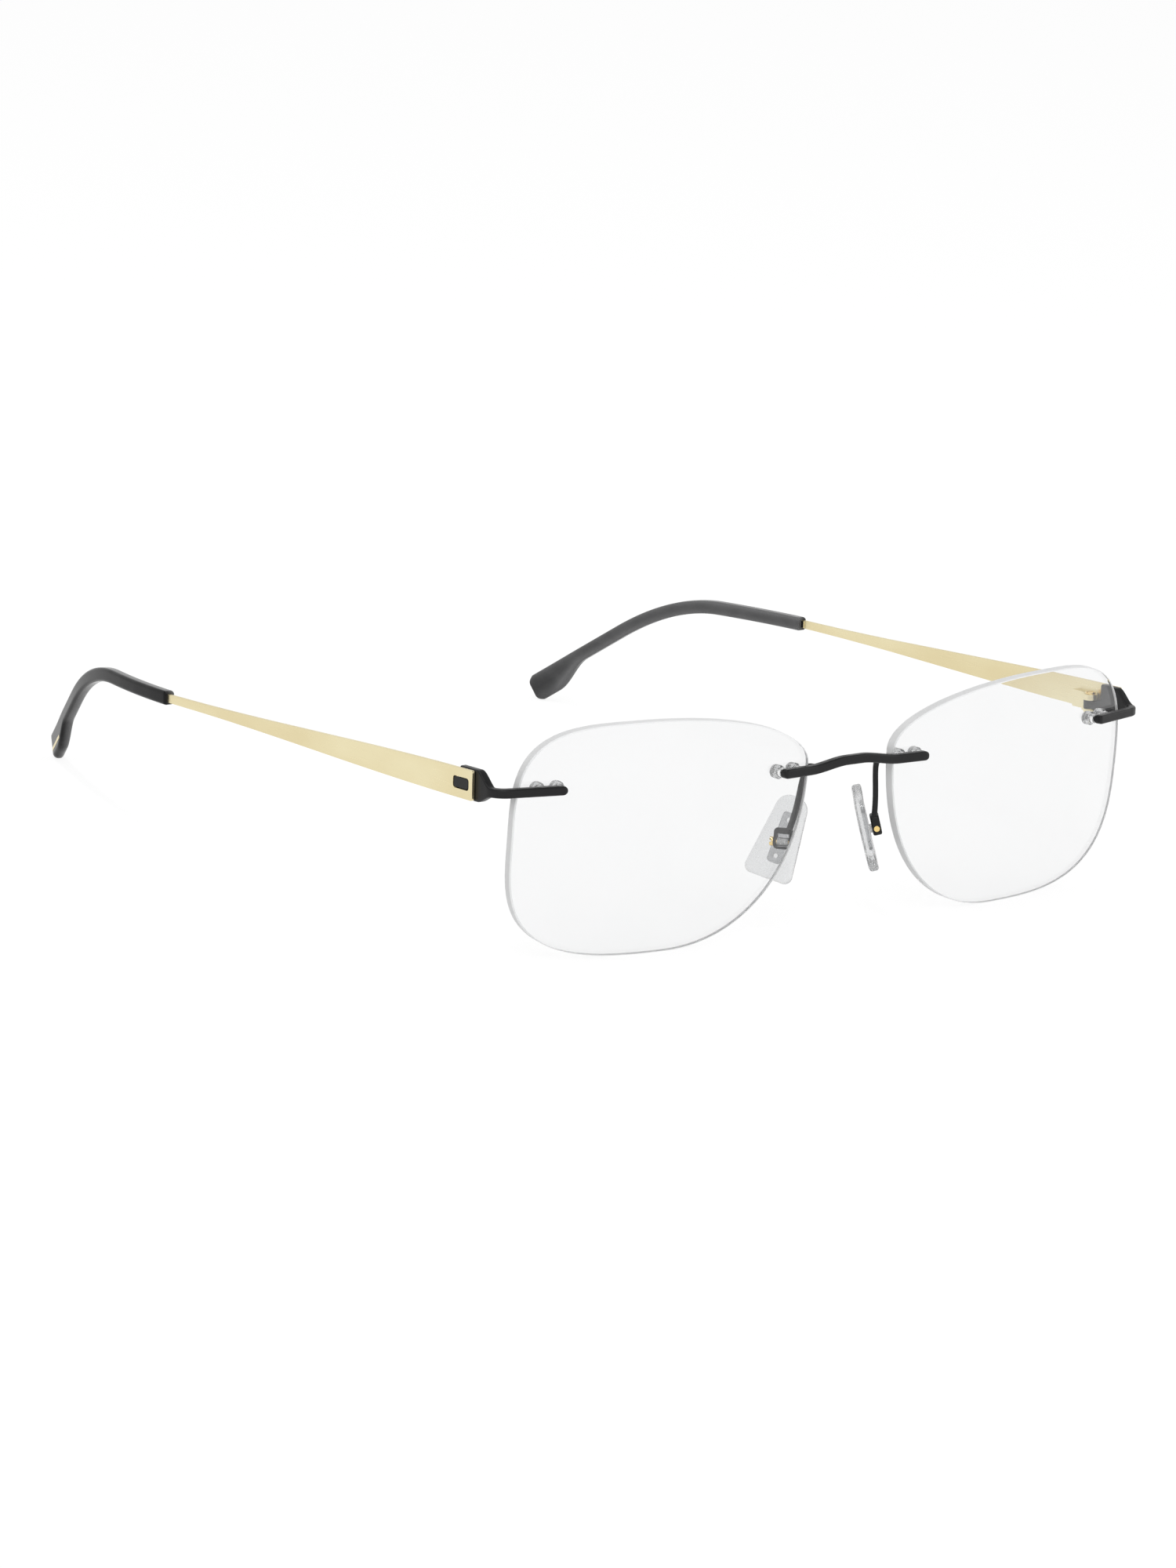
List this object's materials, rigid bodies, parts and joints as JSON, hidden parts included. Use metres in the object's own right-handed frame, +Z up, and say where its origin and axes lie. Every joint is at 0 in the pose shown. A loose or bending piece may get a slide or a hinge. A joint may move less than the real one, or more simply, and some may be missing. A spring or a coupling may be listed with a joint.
{
  "type": "rimless eyeglasses",
  "caption": "Rimless eyeglasses with drilled clear lenses, a black bridge and endpieces, flat folding temples in pale gold, dark tips and rocking nose pads.",
  "frame": {"origin": "on the table, under the middle of the box around the glasses", "axes": "+X is the wearer's left, +Y runs from the lenses back along the temples, +Z is up"},
  "size_m": [0.14, 0.1546, 0.039],
  "materials": {
    "lens": "clear, polished, with an anti-reflective coating",
    "black_metal": "matte black",
    "gold_metal": "pale gold, satin",
    "dark_acetate": "dark grey, slightly translucent, polished",
    "clear_plastic": "clear, polished",
    "clear_silicone": "clear, soft, satin"
  },
  "bodies": {
    "front": {"bridge": "black_metal", "left_lens": "lens", "left_endpiece": "black_metal", "left_temporal_sleeve": "clear_plastic", "left_nasal_sleeve": "clear_plastic", "left_pad_arm": "black_metal", "left_pad_screw": "gold_metal", "right_lens": "lens", "right_endpiece": "black_metal", "right_temporal_sleeve": "clear_plastic", "right_nasal_sleeve": "clear_plastic", "right_pad_arm": "black_metal", "right_pad_screw": "gold_metal"},
    "left_temple_arm": {"left_temple": "gold_metal", "left_hinge_fork": "gold_metal", "left_hinge_screw": "gold_metal", "left_tip": "dark_acetate", "left_tip_strip": "gold_metal"},
    "left_pad": {"left_nose_pad": "clear_silicone", "left_pad_insert": "clear_plastic"},
    "right_temple_arm": {"right_temple": "gold_metal", "right_hinge_fork": "gold_metal", "right_hinge_screw": "gold_metal", "right_tip": "dark_acetate", "right_tip_strip": "gold_metal"},
    "right_pad": {"right_nose_pad": "clear_silicone", "right_pad_insert": "clear_plastic"}
  },
  "joints": [
    {"name": "left_temple_fold", "type": "hinge", "parent": "front", "child": "left_temple_arm", "pos_m": [0.06747, -0.05787, 0.02763], "axis": [0, 0.0541, 0.9985], "range_deg": [0, 85]},
    {"name": "right_temple_fold", "type": "hinge", "parent": "front", "child": "right_temple_arm", "pos_m": [-0.06747, -0.05787, 0.02763], "axis": [0, -0.0541, -0.9985], "range_deg": [0, 78]},
    {"name": "left_pad_rock", "type": "hinge", "parent": "front", "child": "left_pad", "pos_m": [0.01035, -0.07097, 0.01522], "axis": [0.6157, 0.7869, -0.0427], "range_deg": [-8, 8]},
    {"name": "right_pad_rock", "type": "hinge", "parent": "front", "child": "right_pad", "pos_m": [-0.01035, -0.07097, 0.01522], "axis": [0.6157, -0.7869, 0.0427], "range_deg": [-8, 8]}
  ]
}
